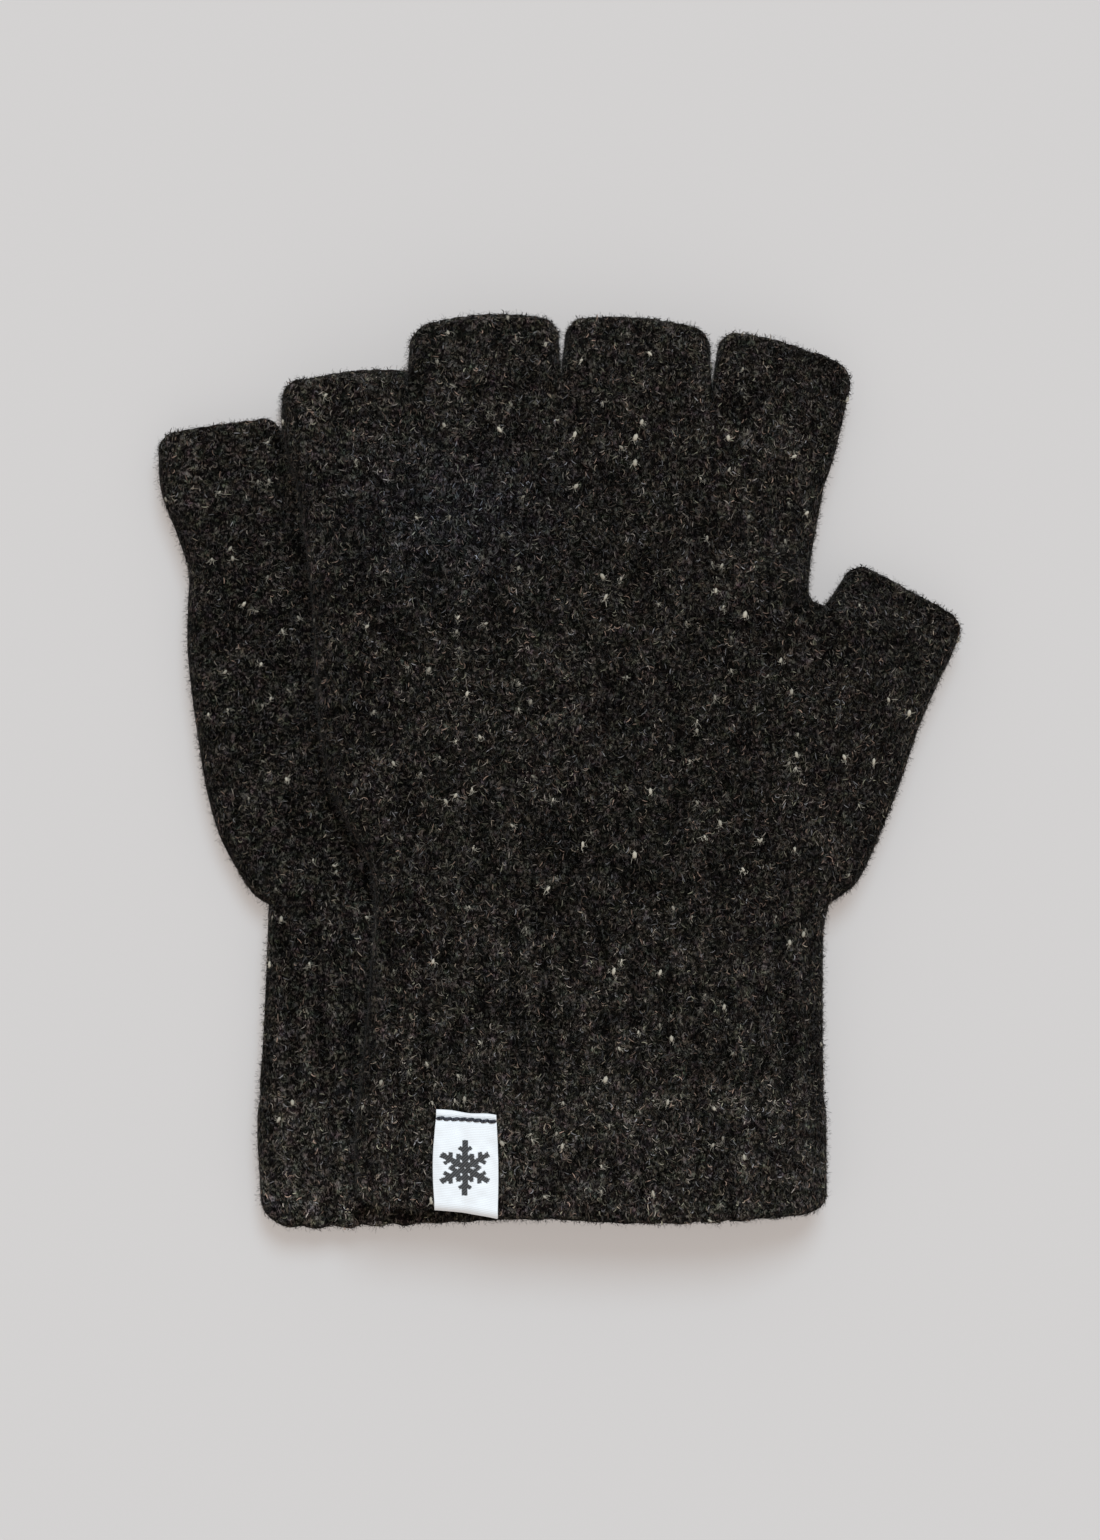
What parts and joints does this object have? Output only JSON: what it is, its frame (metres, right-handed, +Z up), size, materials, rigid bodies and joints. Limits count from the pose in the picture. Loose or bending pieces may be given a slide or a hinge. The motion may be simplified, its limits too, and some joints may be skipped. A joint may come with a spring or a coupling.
{
  "type": "pair of fingerless gloves",
  "caption": "Pair of felted wool knit fingerless gloves lying flat one on the other, each with a ribbed cuff, turned-up hem, half-length finger tubes and a thumb tube; a label on one hem.",
  "frame": {"origin": "middle of the bounding box of the pair, on the surface that it lies on", "axes": "+X across the hands towards the thumbs, +Y from the cuffs towards the fingertips, +Z up out of the surface"},
  "size_m": [0.1608, 0.182, 0.0192],
  "materials": {
    "wool_hand": "felted wool knit, dark charcoal with pale flecks",
    "wool_finger": "felted wool knit, dark charcoal with pale flecks",
    "wool_rib": "felted wool rib knit, dark charcoal with pale flecks",
    "wool_hem": "felted wool rib knit turned double, dark charcoal with pale flecks",
    "wool_edge": "bound-off chain of the same felted wool",
    "label_satin": "white woven satin ribbon",
    "label_thread": "dark sewing thread"
  },
  "bodies": {
    "under_glove": {"under_hand": "wool_hand", "under_cuff_rib": "wool_rib", "under_cuff_hem": "wool_hem", "under_ring_finger": "wool_finger", "under_ring_finger_edge": "wool_edge", "under_middle_finger": "wool_finger", "under_middle_finger_edge": "wool_edge", "under_index_finger": "wool_finger", "under_index_finger_edge": "wool_edge", "under_thumb": "wool_finger", "under_thumb_edge": "wool_edge"},
    "under_little": {"under_little_finger": "wool_finger", "under_little_finger_edge": "wool_edge"},
    "upper_glove": {"upper_hand": "wool_hand"},
    "upper_cuff": {"upper_cuff_rib": "wool_rib", "upper_cuff_hem": "wool_hem", "hem_label": "label_satin", "label_stitching": "label_thread"},
    "upper_little": {"upper_little_finger": "wool_finger", "upper_little_finger_edge": "wool_edge"},
    "upper_ring": {"upper_ring_finger": "wool_finger", "upper_ring_finger_edge": "wool_edge"},
    "upper_middle": {"upper_middle_finger": "wool_finger", "upper_middle_finger_edge": "wool_edge"},
    "upper_index": {"upper_index_finger": "wool_finger", "upper_index_finger_edge": "wool_edge"},
    "upper_thumb_tube": {"upper_thumb": "wool_finger", "upper_thumb_edge": "wool_edge"}
  },
  "joints": [
    {"name": "upper_glove_lift", "type": "slide", "parent": "under_glove", "child": "upper_glove", "axis": [0, 0, 1], "range_m": [0, 0.15]},
    {"name": "under_little_fold", "type": "hinge", "parent": "under_glove", "child": "under_little", "pos_m": [-0.06611, 0.0482, 0.0088], "axis": [0.9992, 0.0391, 0], "range_deg": [0, 80]},
    {"name": "upper_cuff_fold", "type": "hinge", "parent": "upper_glove", "child": "upper_cuff", "pos_m": [0.00718, -0.02732, 0.0179], "axis": [-1, 0, 0], "range_deg": [0, 80]},
    {"name": "upper_little_fold", "type": "hinge", "parent": "upper_glove", "child": "upper_little", "pos_m": [-0.04112, 0.05668, 0.0179], "axis": [1, 0, 0], "range_deg": [0, 80]},
    {"name": "upper_ring_fold", "type": "hinge", "parent": "upper_glove", "child": "upper_ring", "pos_m": [-0.01442, 0.05668, 0.0179], "axis": [1, 0, 0], "range_deg": [0, 80]},
    {"name": "upper_middle_fold", "type": "hinge", "parent": "upper_glove", "child": "upper_middle", "pos_m": [0.01593, 0.05668, 0.0179], "axis": [1, 0, 0], "range_deg": [0, 80]},
    {"name": "upper_index_fold", "type": "hinge", "parent": "upper_glove", "child": "upper_index", "pos_m": [0.04243, 0.05668, 0.0179], "axis": [1, 0, 0], "range_deg": [0, 80]},
    {"name": "upper_thumb_fold", "type": "hinge", "parent": "upper_glove", "child": "upper_thumb_tube", "pos_m": [0.06571, 0.02548, 0.0179], "axis": [0.866, -0.5, 0], "range_deg": [0, 70]}
  ]
}
